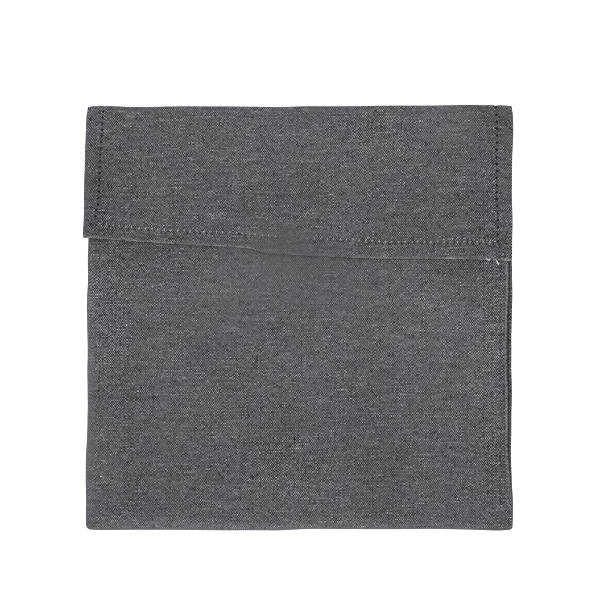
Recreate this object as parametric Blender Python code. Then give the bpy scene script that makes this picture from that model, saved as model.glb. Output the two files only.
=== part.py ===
"""Reusable sandwich bag of grey chambray, lying flat with its flap folded over the front.

Metres, +Z up. X runs across the bag and Y from its foot to its crest. The origin is the middle of the
underside. One strip of cloth makes the whole bag. It starts at the hidden mouth, runs down as the front
panel, turns at the foot, comes up as the back panel, turns again at the crest and ends as the flap. The
two panels are sewn together along their sides, so the pocket between them is open only at the mouth.

The strip is modelled as a sheet without thickness on a lattice. A lattice point holds its column across
the bag, its row along the strip and its layer. Every point is then moved to its real place, and Solidify
gives the cloth its thickness.
"""

import math
from collections import namedtuple

import bmesh
import bpy

MM = 0.001

# Cloth thickness and the air between the layers
CLOTH = 1.0 * MM
HEM_CLOTH = 1.35 * MM
POCKET_GAP = 0.8 * MM
FLAP_GAP = 0.45 * MM

# Middle of each layer above the surface that the bag lies on
BACK_Z = CLOTH / 2
FRONT_Z = BACK_Z + CLOTH + POCKET_GAP
FLAP_Z = FRONT_Z + CLOTH / 2 + FLAP_GAP + HEM_CLOTH / 2
CREST_Z = FLAP_Z - 0.7 * MM
CREST_DRAPE = 16.0 * MM

# Mouth of the pocket, hidden under the flap
MOUTH_DEPTH = 15.0 * MM

# Hem round the flap: its stitching and the inner edge of its turning
HEM_STITCH = 5.2 * MM
HEM_TURNING = 6.8 * MM

# The front panel stops short of the back panel's edge on the right, and that step dies out at the foot
RIGHT_STEP = 1.7 * MM
RIGHT_STEP_FADE = 30.0 * MM

# Lattice counts
COLUMNS = 26
HEM_COLUMNS = 2
POCKET_ROWS = 21
NECK_ROWS = 2
CREST_ROWS = 6
FLAP_ROWS = 10
HEM_ROWS = 2
FLAP_START = POCKET_ROWS + NECK_ROWS + CREST_ROWS
LAST_ROW = FLAP_START + FLAP_ROWS

# Side edges of the pocket in millimetres, a row for each height above the foot
Side = namedtuple("Side", "height left right")
POCKET_SIDES = (
    Side(0.0, -88.9, 89.4),
    Side(2.4, -90.6, 90.3),
    Side(11.0, -90.4, 90.4),
    Side(24.0, -90.7, 89.6),
    Side(38.0, -90.2, 89.5),
    Side(58.0, -89.9, 89.8),
    Side(79.0, -89.8, 89.6),
    Side(97.0, -90.2, 90.1),
    Side(114.0, -89.8, 89.8),
    Side(124.0, -89.5, 90.0),
    Side(164.0, -89.4, 89.9),
    Side(179.5, -89.3, 89.7),
)

# Side edges of the flap, which stands out past the pocket on the left
FLAP_SIDES = (
    Side(114.0, -92.1, 89.9),
    Side(125.0, -92.0, 90.1),
    Side(129.0, -91.7, 90.2),
    Side(144.0, -91.4, 90.0),
    Side(157.0, -91.0, 90.0),
    Side(168.0, -90.7, 90.6),
    Side(176.0, -90.2, 90.4),
    Side(179.5, -89.3, 89.7),
)

# Ends of the folded bag in millimetres, a row for each place across it
End = namedtuple("End", "across foot crest flap_edge")
ENDS = (
    End(-92.0, 1.4, 178.6, 123.8),
    End(-89.0, 0.3, 179.4, 123.9),
    End(-84.0, 0.0, 179.8, 124.0),
    End(-70.0, 0.0, 179.1, 122.9),
    End(-50.0, 0.0, 179.4, 121.5),
    End(-30.0, -0.3, 179.4, 120.3),
    End(-18.0, -0.1, 179.2, 119.4),
    End(-8.0, -0.2, 179.2, 117.5),
    End(4.0, 0.3, 179.5, 117.0),
    End(20.0, 0.3, 179.4, 116.2),
    End(36.0, 0.2, 179.7, 115.6),
    End(56.0, 0.2, 179.7, 115.3),
    End(72.0, 0.0, 180.0, 115.0),
    End(84.0, -0.3, 179.8, 114.6),
    End(89.0, 0.1, 179.5, 114.4),
    End(92.0, 0.9, 178.8, 114.2),
)

# How the panels' edges turn into each other at the sides and the foot, in millimetres from the outline
Turn = namedtuple("Turn", "layer rise side foot")
TURNS = (
    Turn(0.0, 0.0, 0.95, 0.95),
    Turn(0.5, 0.9, 0.5, 0.5),
    Turn(1.0, 1.8, 0.95, 0.95),
)

# Soft swells of the upper layers in millimetres, placed from the bag's middle line and foot
Swell = namedtuple("Swell", "across height reach_across reach_up rise")
BODY_SWELLS = (
    Swell(-44.0, 98.0, 30.0, 12.0, 0.45),
    Swell(40.0, 92.0, 34.0, 14.0, 0.4),
    Swell(-22.0, 52.0, 40.0, 22.0, 0.6),
    Swell(56.0, 44.0, 22.0, 26.0, 0.5),
    Swell(-60.0, 20.0, 18.0, 10.0, 0.35),
    Swell(18.0, 16.0, 30.0, 9.0, 0.35),
    Swell(-30.0, 148.0, 34.0, 10.0, 0.4),
    Swell(48.0, 146.0, 26.0, 13.0, 0.45),
)
FLAP_SWELLS = (
    Swell(14.0, 114.0, 22.0, 9.0, 0.8),
    Swell(-92.0, 124.0, 9.0, 9.0, 0.5),
    Swell(90.0, 114.0, 8.0, 8.0, 0.4),
)


def blend(start, end, share):
    """Value a share of the way from start to end."""
    return start + (end - start) * share


def ease(share):
    """Share from 0 to 1 that starts and ends softly."""
    share = min(max(share, 0.0), 1.0)
    return share * share * (3.0 - 2.0 * share)


def read_rows(rows, key, column, at):
    """Column of a table of millimetres, eased between the rows on either side of a place in metres."""
    at_mm = min(max(at / MM, getattr(rows[0], key)), getattr(rows[-1], key))
    for low, high in zip(rows, rows[1:]):
        if at_mm <= getattr(high, key):
            share = (at_mm - getattr(low, key)) / (getattr(high, key) - getattr(low, key))
            return blend(getattr(low, column), getattr(high, column), ease(share)) * MM
    return getattr(rows[-1], column) * MM


def swell_height(swells, across, height):
    """Sum of the soft swells at a place on the bag."""
    rise = 0.0
    for swell in swells:
        away_across = (across / MM - swell.across) / swell.reach_across
        away_up = (height / MM - swell.height) / swell.reach_up
        rise += swell.rise * math.exp(-0.5 * (away_across**2 + away_up**2))
    return rise * MM


def place_column(column, left, right):
    """Place across the bag of a lattice column. The outer columns lie on the hem's lines."""
    hem_lines = (0.0, HEM_STITCH, HEM_TURNING)
    if column <= HEM_COLUMNS:
        return left + hem_lines[column]
    if column >= COLUMNS - HEM_COLUMNS:
        return right - hem_lines[COLUMNS - column]
    share = (column - HEM_COLUMNS) / (COLUMNS - 2 * HEM_COLUMNS)
    return blend(left + HEM_TURNING, right - HEM_TURNING, share)


def rough_across(column):
    """Place of a column before the side edges' wander is known."""
    side = POCKET_SIDES[-1]
    return place_column(column, side.left * MM, side.right * MM)


def pocket_point(column, row, layer):
    """Point of the pocket: the back panel, the front panel or the turned edge between them."""
    turn = next(turn for turn in TURNS if turn.layer == layer)
    near_across = rough_across(column)
    foot = read_rows(ENDS, "across", "foot", near_across) + turn.foot * MM
    mouth = read_rows(ENDS, "across", "crest", near_across) - MOUTH_DEPTH
    height = blend(foot, mouth, row / POCKET_ROWS)
    step = RIGHT_STEP * layer * ease(height / RIGHT_STEP_FADE)
    left = read_rows(POCKET_SIDES, "height", "left", height) + turn.side * MM
    right = read_rows(POCKET_SIDES, "height", "right", height) - turn.side * MM - step
    across = place_column(column, left, right)
    swell = layer * swell_height(BODY_SWELLS, across, height)
    return across, height, BACK_Z + turn.rise * MM + swell


def crest_middle(across):
    """Height of the crest fold's axis and the radius of the sheet round it."""
    radius = (CREST_Z - BACK_Z) / 2
    crest = read_rows(ENDS, "across", "crest", across)
    return crest - CLOTH / 2 - radius, radius


def neck_point(column, row):
    """Point of the back panel between the mouth and the crest."""
    near_across = rough_across(column)
    axis_height, _ = crest_middle(near_across)
    mouth = read_rows(ENDS, "across", "crest", near_across) - MOUTH_DEPTH
    height = blend(mouth, axis_height, row / NECK_ROWS)
    left = read_rows(POCKET_SIDES, "height", "left", height)
    right = read_rows(POCKET_SIDES, "height", "right", height)
    return place_column(column, left, right), height, BACK_Z


def crest_point(column, row):
    """Point of the fold over the crest."""
    axis_height, radius = crest_middle(rough_across(column))
    turned = math.pi * row / CREST_ROWS
    left = read_rows(FLAP_SIDES, "height", "left", axis_height)
    right = read_rows(FLAP_SIDES, "height", "right", axis_height)
    out = radius * math.sin(turned)
    up = radius * (1.0 - math.cos(turned))
    return place_column(column, left, right), axis_height + out, BACK_Z + up


def flap_point(column, row):
    """Point of the flap. Its last rows lie on the lower hem's lines."""
    near_across = rough_across(column)
    axis_height, _ = crest_middle(near_across)
    edge = read_rows(ENDS, "across", "flap_edge", near_across)
    hem_lines = (0.0, HEM_STITCH, HEM_TURNING)
    rows_to_edge = FLAP_ROWS - row
    if rows_to_edge <= HEM_ROWS:
        height = edge + hem_lines[rows_to_edge]
    else:
        height = blend(axis_height, edge + HEM_TURNING, row / (FLAP_ROWS - HEM_ROWS))
    left = read_rows(FLAP_SIDES, "height", "left", height)
    right = read_rows(FLAP_SIDES, "height", "right", height)
    across = place_column(column, left, right)
    draped = ease((axis_height - height) / CREST_DRAPE)
    swell = swell_height(BODY_SWELLS, across, height) + swell_height(FLAP_SWELLS, across, height)
    return across, height, blend(CREST_Z, FLAP_Z, draped) + draped * swell


def bag_point(column, row, layer):
    """Real place of a lattice point."""
    if row <= POCKET_ROWS:
        return pocket_point(column, row, layer)
    if row <= POCKET_ROWS + NECK_ROWS:
        return neck_point(column, row - POCKET_ROWS)
    if row <= FLAP_START:
        return crest_point(column, row - POCKET_ROWS - NECK_ROWS)
    return flap_point(column, row - FLAP_START)


def is_hem(column, row, layer):
    """Whether a lattice point lies on the flap's hem or on the mouth's."""
    if row > FLAP_START:
        at_side = min(column, COLUMNS - column) < HEM_COLUMNS
        return at_side or LAST_ROW - row < HEM_ROWS
    at_mouth = POCKET_ROWS - 1 <= row <= POCKET_ROWS
    return at_mouth and layer == TURNS[-1].layer


def lattice_of(vert):
    """Column, row and layer of a point, while it is still on the lattice."""
    return round(vert.co.x), round(vert.co.y), round(2 * vert.co.z) / 2


def lay_out_lattice(mesh):
    """Back panel, front panel and turned edges as an open box, and the strip that runs on to the flap."""
    bmesh.ops.create_grid(mesh, x_segments=COLUMNS, y_segments=POCKET_ROWS, size=0.5)
    bmesh.ops.translate(mesh, verts=mesh.verts, vec=(0.5, 0.5, 0.0))
    bmesh.ops.scale(mesh, verts=mesh.verts, vec=(COLUMNS, POCKET_ROWS, 1.0))
    raised = bmesh.ops.extrude_face_region(mesh, geom=mesh.faces[:], use_keep_orig=True)
    front = [item for item in raised["geom"] if isinstance(item, bmesh.types.BMVert)]
    bmesh.ops.translate(mesh, verts=front, vec=(0.0, 0.0, 1.0))
    mouth_wall = [
        face for face in mesh.faces if all(round(vert.co.y) == POCKET_ROWS for vert in face.verts)
    ]
    bmesh.ops.delete(mesh, geom=mouth_wall, context="FACES")
    upright = [edge for edge in mesh.edges if abs(edge.verts[0].co.z - edge.verts[1].co.z) > 0.5]
    bmesh.ops.subdivide_edges(mesh, edges=upright, cuts=1)
    strip_end = [
        edge
        for edge in mesh.edges
        if all(lattice_of(vert)[1:] == (POCKET_ROWS, 0.0) for vert in edge.verts)
    ]
    for _ in range(LAST_ROW - POCKET_ROWS):
        added = bmesh.ops.extrude_edge_only(mesh, edges=strip_end)["geom"]
        new_verts = [item for item in added if isinstance(item, bmesh.types.BMVert)]
        bmesh.ops.translate(mesh, verts=new_verts, vec=(0.0, 1.0, 0.0))
        new_ends = set(new_verts)
        strip_end = [
            item
            for item in added
            if isinstance(item, bmesh.types.BMEdge) and new_ends.issuperset(item.verts)
        ]


def fold_lattice(mesh, hem_group):
    """Move every lattice point to its place on the folded bag and mark the hems."""
    weights = mesh.verts.layers.deform.verify()
    for vert in mesh.verts:
        column, row, layer = lattice_of(vert)
        vert[weights][hem_group] = 1.0 if is_hem(column, row, layer) else 0.0
        vert.co = bag_point(column, row, layer)


def make_chambray():
    """Washed grey chambray, matt."""
    material = bpy.data.materials.new("grey_chambray")
    material.use_nodes = True
    shader = material.node_tree.nodes["Principled BSDF"]
    shader.inputs["Base Color"].default_value = (0.112, 0.111, 0.121, 1.0)
    shader.inputs["Roughness"].default_value = 0.92
    shader.inputs["Metallic"].default_value = 0.0
    return material


def rest_on_origin(item):
    """Put the middle of the finished cloth's underside on the origin."""
    view_layer = bpy.context.view_layer
    view_layer.update()
    finished = item.evaluated_get(bpy.context.evaluated_depsgraph_get()).data
    places = [vert.co for vert in finished.vertices]
    middle_x = (min(co.x for co in places) + max(co.x for co in places)) / 2
    middle_y = (min(co.y for co in places) + max(co.y for co in places)) / 2
    item.location = (-middle_x, -middle_y, -min(co.z for co in places))


def make_bag_cloth():
    """Whole bag as one solid of cloth."""
    data = bpy.data.meshes.new("bag_cloth")
    item = bpy.data.objects.new("bag_cloth", data)
    bpy.context.scene.collection.objects.link(item)
    hem_group = item.vertex_groups.new(name="hem").index
    mesh = bmesh.new()
    lay_out_lattice(mesh)
    fold_lattice(mesh, hem_group)
    bmesh.ops.recalc_face_normals(mesh, faces=mesh.faces)
    mesh.to_mesh(data)
    mesh.free()
    data.materials.append(make_chambray())
    data.shade_smooth()
    thickness = item.modifiers.new("cloth thickness", "SOLIDIFY")
    thickness.thickness = HEM_CLOTH
    thickness.offset = 0.0
    thickness.use_even_offset = False
    thickness.vertex_group = "hem"
    thickness.thickness_vertex_group = CLOTH / HEM_CLOTH
    rest_on_origin(item)
    return item


for old_object in list(bpy.data.objects):
    bpy.data.objects.remove(old_object, do_unlink=True)
make_bag_cloth()
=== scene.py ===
"""Reusable sandwich bag of grey chambray, lying flat on its back panel with the flap folded over.

Metres, +Z up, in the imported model's frame: X runs across the bag and Y from its foot to its crest.
"""

import math
import random
from bisect import bisect_right
from collections import namedtuple

import bmesh
import bpy
from mathutils import Matrix, Vector, noise


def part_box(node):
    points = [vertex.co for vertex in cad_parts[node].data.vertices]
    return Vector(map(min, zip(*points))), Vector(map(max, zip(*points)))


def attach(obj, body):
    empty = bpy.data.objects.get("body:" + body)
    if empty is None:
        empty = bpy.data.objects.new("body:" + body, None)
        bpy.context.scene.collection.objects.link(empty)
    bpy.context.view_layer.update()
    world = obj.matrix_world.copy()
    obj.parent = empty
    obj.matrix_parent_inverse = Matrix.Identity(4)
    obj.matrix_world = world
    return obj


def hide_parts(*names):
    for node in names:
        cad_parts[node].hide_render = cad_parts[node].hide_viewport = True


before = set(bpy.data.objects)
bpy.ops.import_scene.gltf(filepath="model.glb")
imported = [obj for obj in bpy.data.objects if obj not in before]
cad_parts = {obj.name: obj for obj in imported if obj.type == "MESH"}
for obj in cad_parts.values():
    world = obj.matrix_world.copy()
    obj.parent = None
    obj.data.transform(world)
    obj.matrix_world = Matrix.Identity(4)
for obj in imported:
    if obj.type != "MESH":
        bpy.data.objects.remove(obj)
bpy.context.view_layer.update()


# Bag cloth
# One strip of grey chambray, a plain weave of dark warp and pale weft, makes the whole bag. It is folded at
# the foot and at the crest, its sides are seamed inside and turned out, and its free edges are hemmed.

MM = 0.001
CLOTH = 0.5 * MM
HEM_CLOTH = 0.9 * MM

# Height of the front panel's middle, at the bag's edge and inside its crown
FRONT_EDGE_Z = 1.45 * MM
FRONT_Z = 2.15 * MM
CROWN_REACH = 13.0 * MM

# Pocket mouth, hidden under the flap, and its hem
MOUTH_DEPTH = 15.0 * MM
MOUTH_HEM = 8.0 * MM

# Fold over the crest, and how far the flap's underside lies above the front panel
CREST_Z = 2.6 * MM
REST_GAP = 0.06 * MM

# Turned side edges: how far the panels stop inside the outline, and the cloth that the turn takes up
TURN_INSET = 0.9 * MM
TURN_LENGTH = 3.6 * MM

# Rounding of the pocket's lower corners and of the flap's
LEFT_CORNER = 1.7 * MM
RIGHT_CORNER = 1.1 * MM
FLAP_CORNER = 0.7 * MM

# The right seam rolls to the front. The roll dies out at the foot, and its groove is deeper halfway up
ROLL_START = 4.0 * MM
ROLL_FADE = 34.0 * MM
RIDGE_WIDTH = 7.0 * MM
GROOVE_HEIGHT = 80.0 * MM
GROOVE_REACH = 26.0 * MM
GROOVE_DRAW = 0.36 * MM
DEEP_GROOVE_DRAW = 0.5 * MM
DEEP_GROOVE_RINGS = (8, 9)
LAST_BACK_RING = 4

# Where the pocket's hem lines lie beside its edges, and the seam allowances that lift its front panel there
POCKET_HEM = 6.4 * MM
ALLOWANCE_RISE = 0.22 * MM
ALLOWANCE_WIDTH = 11.0 * MM

# Uneven lie of the cloth, which fades out towards edges and crest, and the dent of a stitched row
LONG_RIPPLE = 0.16 * MM
LONG_RIPPLE_LENGTH = 24.0 * MM
SWELL_FADE = 9.0 * MM
CREST_FADE = 8.0 * MM
DENT_DEPTH = 0.26 * MM
DENT_WIDTH = 0.62 * MM

# Lattice lines beside an edge: a share of the way from the edge to the stitching, then millimetres past it,
# and how full the hem is there: pressed flat at its fold, full under the stitching, one layer past it
EdgeLine = namedtuple("EdgeLine", "share past hem")
EDGE_LINES = (
    EdgeLine(0.0, 0.0, 0.3),
    EdgeLine(0.05, 0.0, 0.5),
    EdgeLine(0.12, 0.0, 0.75),
    EdgeLine(0.22, 0.0, 0.95),
    EdgeLine(0.36, 0.0, 1.0),
    EdgeLine(0.52, 0.0, 1.0),
    EdgeLine(0.68, 0.0, 1.0),
    EdgeLine(0.82, 0.0, 1.0),
    EdgeLine(0.93, 0.0, 1.0),
    EdgeLine(1.0, 0.0, 1.0),
    EdgeLine(1.0, 0.4, 1.0),
    EdgeLine(1.0, 0.9, 1.0),
    EdgeLine(1.0, 1.4, 0.85),
    EdgeLine(1.0, 2.0, 0.35),
    EdgeLine(1.0, 2.8, 0.0),
)
STITCH_LINE = 9
HEM_LINES = len(EDGE_LINES) - 1

# Lattice counts
COLUMNS = 2 * HEM_LINES + 150
FOOT_LINES = (0.0, 0.35, 0.8, 1.4, 2.2, 3.2, 4.5, 6.2, 8.4)
MOUTH_LINES = (0.0, 0.4, 1.2, 3.0, 5.5, 6.8, 8.0, 9.2)
MOUTH_HEM_ROWS = len(MOUTH_LINES) - 2
POCKET_ROWS = len(FOOT_LINES) + len(MOUTH_LINES) - 2 + 52
NECK_ROWS = 9
CREST_ROWS = 12
FLAP_ROWS = HEM_LINES + 42
RINGS = 10
CREST_START = POCKET_ROWS + NECK_ROWS
FLAP_START = CREST_START + CREST_ROWS
LAST_ROW = FLAP_START + FLAP_ROWS

# Side edges of the pocket in millimetres from the middle line, for each height above the foot
Side = namedtuple("Side", "height left right")
POCKET_SIDES = (
    Side(-1.0, -90.6, 90.5),
    Side(2.4, -90.8, 90.7),
    Side(11.0, -90.75, 90.8),
    Side(24.0, -90.95, 90.0),
    Side(38.0, -90.4, 89.75),
    Side(51.0, -89.98, 89.97),
    Side(58.0, -90.15, 90.0),
    Side(79.0, -90.1, 89.8),
    Side(97.0, -90.35, 90.25),
    Side(105.0, -89.95, 90.2),
    Side(114.0, -90.0, 90.0),
    Side(124.0, -89.75, 90.1),
    Side(164.0, -89.4, 89.9),
    Side(180.0, -89.3, 89.7),
)

# Side edges of the flap, and how far in from them its hems are stitched
FlapSide = namedtuple("FlapSide", "height left right left_stitch right_stitch")
FLAP_SIDES = (
    FlapSide(113.0, -92.0, 90.05, 4.6, 6.1),
    FlapSide(122.0, -91.95, 90.15, 4.6, 6.1),
    FlapSide(129.0, -91.55, 90.35, 4.8, 6.2),
    FlapSide(133.0, -91.4, 90.3, 5.0, 6.25),
    FlapSide(136.0, -91.35, 90.2, 5.55, 6.3),
    FlapSide(139.0, -91.35, 90.15, 6.05, 6.35),
    FlapSide(144.0, -91.3, 90.1, 6.3, 6.45),
    FlapSide(157.0, -90.9, 90.2, 6.55, 6.65),
    FlapSide(168.0, -90.6, 90.6, 6.85, 7.0),
    FlapSide(176.0, -90.2, 90.5, 6.9, 6.95),
    FlapSide(180.0, -89.3, 89.8, 6.8, 6.8),
)

# Ends of the folded bag for each place across it: foot, crest, flap's edge and its stitching above that
End = namedtuple("End", "across foot crest flap_edge stitch")
ENDS = (
    End(-92.5, 0.0, 178.7, 123.5, 6.9),
    End(-89.0, -0.1, 179.5, 123.6, 6.8),
    End(-84.0, -0.33, 180.0, 123.7, 6.6),
    End(-70.0, -0.25, 179.5, 122.7, 5.7),
    End(-50.0, -0.28, 179.75, 121.3, 5.7),
    End(-30.0, -0.48, 179.7, 120.1, 6.15),
    End(-18.5, -0.45, 179.6, 119.25, 6.3),
    End(-15.0, -0.48, 179.55, 118.0, 7.15),
    End(-8.0, -0.5, 179.5, 117.1, 7.45),
    End(4.0, 0.1, 179.8, 116.25, 7.55),
    End(20.0, 0.05, 179.8, 115.5, 7.7),
    End(36.0, 0.0, 180.05, 114.98, 7.2),
    End(56.0, 0.1, 180.1, 114.9, 7.2),
    End(72.0, -0.2, 180.4, 114.6, 7.3),
    End(84.0, -0.55, 180.2, 114.15, 7.65),
    End(89.0, -0.2, 179.9, 113.9, 7.7),
    End(92.5, 0.0, 179.0, 113.7, 7.7),
)

# Right seam where it rolls to the front: back panel over the edge, groove of the seam, front panel's ridge
Roll = namedtuple("Roll", "ring inset rise")
SEAM_ROLL = (
    Roll(0, 0.9, 0.25),
    Roll(1, 0.25, 0.33),
    Roll(2, -0.02, 0.72),
    Roll(3, 0.0, 1.14),
    Roll(4, 0.16, 1.38),
    Roll(5, 0.38, 1.36),
    Roll(6, 0.6, 1.0),
    Roll(7, 0.85, 0.5),
    Roll(8, 1.15, 0.6),
    Roll(9, 1.4, 1.4),
    Roll(10, 1.95, 1.98),
)

# Drape of the flap: height of its underside for each distance down from the crest fold
Drape = namedtuple("Drape", "down rise")
FLAP_DRAPE = (
    Drape(-3.0, 2.35),
    Drape(0.0, 2.35),
    Drape(6.0, 2.5),
    Drape(12.0, 2.86),
    Drape(17.0, 3.04),
    Drape(22.0, 2.96),
    Drape(29.0, 2.62),
    Drape(38.0, 2.5),
    Drape(70.0, 2.48),
)

# Soft patches, placed from the bag's middle line and foot: swells of the upper layers in millimetres
Patch = namedtuple("Patch", "across height reach_across reach_up amount")
BODY_SWELLS = (
    Patch(-44.0, 98.0, 30.0, 12.0, 0.45),
    Patch(40.0, 92.0, 34.0, 14.0, 0.4),
    Patch(-22.0, 52.0, 40.0, 22.0, 0.6),
    Patch(56.0, 44.0, 22.0, 26.0, 0.5),
    Patch(-60.0, 20.0, 18.0, 10.0, 0.35),
    Patch(18.0, 16.0, 30.0, 9.0, 0.35),
    Patch(-30.0, 148.0, 34.0, 10.0, 0.4),
    Patch(48.0, 146.0, 26.0, 13.0, 0.45),
)
FLAP_SWELLS = (
    Patch(28.0, 114.0, 14.0, 8.0, 0.2),
    Patch(-92.0, 124.0, 9.0, 9.0, 0.4),
    Patch(90.0, 114.0, 8.0, 8.0, 0.3),
)

# Rows of stitching: stitch length, and the share of a stitch by which the counting is moved along the hem
Seam = namedtuple("Seam", "pitch phase")
LEFT_SEAM = Seam(2.63 * MM, -0.52)
RIGHT_SEAM = Seam(2.99 * MM, 0.32)
LOWER_SEAM = Seam(2.76 * MM, 0.0)
FIRST_SIDE_HOLE = 3

# Pale line along the flap's folded edge: wear where rubbing has paled it, and painted highlight where the
# fold catches the light
Wear = namedtuple("Wear", "start end strength")
EDGE_WEAR_AND_HIGHLIGHT = (
    Wear(-92.0, -84.0, 0.3),
    Wear(-74.0, -69.0, 0.4),
    Wear(-63.5, -58.0, 0.5),
    Wear(-57.0, -53.5, 0.4),
    Wear(-36.0, -31.0, 0.3),
    Wear(-28.0, -20.0, 0.35),
    Wear(-21.0, 22.0, -0.25),
    Wear(30.0, 40.0, 0.1),
    Wear(62.0, 66.0, 0.6),
    Wear(66.0, 77.0, -0.2),
    Wear(86.0, 90.5, 0.6),
)
# Faint wear and painted highlight all along the flap's edge, its share in the edge's first rows, and
# painted highlight with wear on the right seam's ridge
FAINT_WEAR_AND_HIGHLIGHT = 0.35
EDGE_WEAR_AND_HIGHLIGHT_ROWS = (1.0, 1.0, 0.4)
RIDGE_WEAR_AND_HIGHLIGHT = 0.45
TURNED_EDGE_FELT = 0.6

# Index of the cloth's one vertex group, which thickens its hems
HEM_GROUP = 0

# Places where washing has left the cloth darker or lighter, and painted shade in the right seam's groove
# and in a band under the left part of the flap's lower edge. One patch just under the flap's edge, left of
# the middle, is painted light that lightens the flap's shadow there.
CLOTH_TONES_AND_PAINTED_LIGHT = (
    Patch(-85.5, 146.0, 2.6, 18.0, -0.15),
    Patch(-85.0, 131.0, 5.0, 11.0, -0.13),
    Patch(-62.0, 121.5, 11.0, 4.0, -0.1),
    Patch(-54.0, 118.5, 18.0, 2.6, -0.1),
    Patch(-15.5, 117.3, 4.5, 1.0, 0.12),
    Patch(25.0, 122.5, 13.0, 4.0, -0.09),
    Patch(70.0, 110.5, 14.0, 1.8, -0.08),
    Patch(0.0, 120.5, 75.0, 3.5, -0.06),
    Patch(0.0, 142.0, 80.0, 5.0, -0.04),
    Patch(-75.0, 145.0, 3.0, 22.0, -0.08),
    Patch(84.0, 172.0, 5.0, 5.0, -0.13),
    Patch(81.0, 132.0, 7.0, 18.0, -0.1),
    Patch(52.0, 136.0, 28.0, 9.0, -0.03),
    Patch(21.0, 162.0, 20.0, 6.0, 0.05),
    Patch(19.0, 146.0, 7.0, 14.0, 0.08),
    Patch(61.0, 173.0, 10.0, 5.0, 0.18),
    Patch(-30.0, 101.5, 38.0, 5.0, 0.12),
    Patch(-64.0, 96.0, 24.0, 8.0, 0.05),
    Patch(0.0, 69.0, 7.0, 5.0, 0.06),
    Patch(51.0, 101.0, 7.0, 6.0, 0.04),
    Patch(48.0, 79.0, 20.0, 10.0, 0.11),
    Patch(68.0, 93.0, 10.0, 12.0, 0.04),
    Patch(-36.0, 65.0, 6.0, 9.0, -0.09),
    Patch(-73.0, 57.0, 5.0, 8.0, -0.08),
    Patch(-9.0, 41.0, 4.0, 4.0, -0.08),
    Patch(33.0, 42.0, 12.0, 24.0, -0.06),
    Patch(-37.0, 30.0, 7.0, 4.0, -0.08),
    Patch(4.0, 28.0, 10.0, 6.0, -0.08),
    Patch(86.3, 62.0, 2.2, 45.0, -0.12),
    Patch(88.0, 70.0, 1.2, 17.0, -0.28),
    Patch(0.0, 29.0, 80.0, 7.0, -0.035),
    Patch(-73.0, 34.0, 5.0, 22.0, -0.05),
    Patch(-70.0, 19.0, 5.0, 5.0, -0.06),
    Patch(-84.0, 18.0, 5.0, 6.0, 0.06),
    Patch(50.0, 19.0, 8.0, 4.0, 0.07),
    Patch(82.0, 14.0, 6.0, 9.0, -0.08),
)

# Painted light on the folds of the pocket's left edge and foot, as pale strips, and painted shade in the
# corner between them
FOLD_PAINTED_LIGHT = (
    Patch(-89.8, 66.0, 2.0, 50.0, 0.27),
    Patch(-79.5, 3.6, 4.5, 3.0, 0.15),
    Patch(-87.5, 2.6, 2.0, 2.0, -0.12),
    Patch(-25.0, 0.6, 42.0, 1.7, 0.26),
    Patch(-62.0, 1.8, 17.0, 2.2, 0.2),
    Patch(-22.0, 0.3, 20.0, 1.0, 0.15),
    Patch(20.0, 1.4, 17.0, 2.0, 0.22),
    Patch(55.0, 0.4, 25.0, 1.3, 0.16),
)

# Places where the cloth has felted, so that its weave hardly shows, and where it has stayed clear, below 0
FELTED_CLOTH = (
    Patch(-6.0, 114.0, 16.0, 5.0, 0.65),
    Patch(-5.0, 122.0, 9.0, 4.0, 0.75),
    Patch(-12.0, 99.0, 20.0, 7.0, 0.3),
    Patch(22.0, 99.0, 14.0, 7.0, 0.22),
    Patch(-30.0, 86.0, 10.0, 5.0, 0.25),
    Patch(66.0, 172.0, 8.0, 7.0, 0.2),
    Patch(85.0, 74.0, 6.0, 45.0, -0.75),
    Patch(87.0, 150.0, 3.0, 30.0, 0.3),
    Patch(-83.0, 94.0, 6.0, 20.0, -0.85),
    Patch(-7.0, 28.0, 12.0, 10.0, -0.35),
    Patch(33.0, 168.0, 10.0, 7.0, -0.4),
    Patch(-88.5, 60.0, 1.3, 60.0, 0.5),
)


def blend(start, end, share):
    """Value a share of the way from start to end."""
    return start + (end - start) * share


def ease(share):
    """Share from 0 to 1 that starts and ends softly."""
    share = min(max(share, 0.0), 1.0)
    return share * share * (3.0 - 2.0 * share)


def smooth_curve(rows, key, column):
    """Function of a place in metres that runs smoothly through a table's rows of millimetres."""
    places = [getattr(row, key) * MM for row in rows]
    values = [getattr(row, column) * MM for row in rows]
    last = len(rows) - 1
    slopes = []
    for at in range(len(rows)):
        before, after = max(at - 1, 0), min(at + 1, last)
        slopes.append((values[after] - values[before]) / (places[after] - places[before]))

    def value_at(place):
        place = min(max(place, places[0]), places[-1])
        low = min(max(bisect_right(places, place) - 1, 0), last - 1)
        span = places[low + 1] - places[low]
        share = (place - places[low]) / span
        bend_in = (share**3 - 2.0 * share**2 + share) * slopes[low] * span
        bend_out = (share**3 - share**2) * slopes[low + 1] * span
        return blend(values[low], values[low + 1], ease(share)) + bend_in + bend_out

    return value_at


pocket_left, pocket_right = (smooth_curve(POCKET_SIDES, "height", side) for side in Side._fields[1:])
flap_left, flap_right, left_stitch, right_stitch = (
    smooth_curve(FLAP_SIDES, "height", column) for column in FlapSide._fields[1:]
)
foot_line, crest_line, flap_edge, lower_stitch = (
    smooth_curve(ENDS, "across", column) for column in End._fields[1:]
)
flap_rise = smooth_curve(FLAP_DRAPE, "down", "rise")


def patch_sum(patches, across, height):
    """Sum of the soft patches of a table at a place on the bag."""
    total = 0.0
    for patch in patches:
        away_across = (across / MM - patch.across) / patch.reach_across
        away_up = (height / MM - patch.height) / patch.reach_up
        total += patch.amount * math.exp(-0.5 * (away_across**2 + away_up**2))
    return total


def ripple(across, height, length, layer):
    """Uneven lie of washed cloth, from -1 to 1, with ripples of about that length in metres."""
    return noise.noise(Vector((across / length, height / length, 7.3 * layer)))


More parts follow.
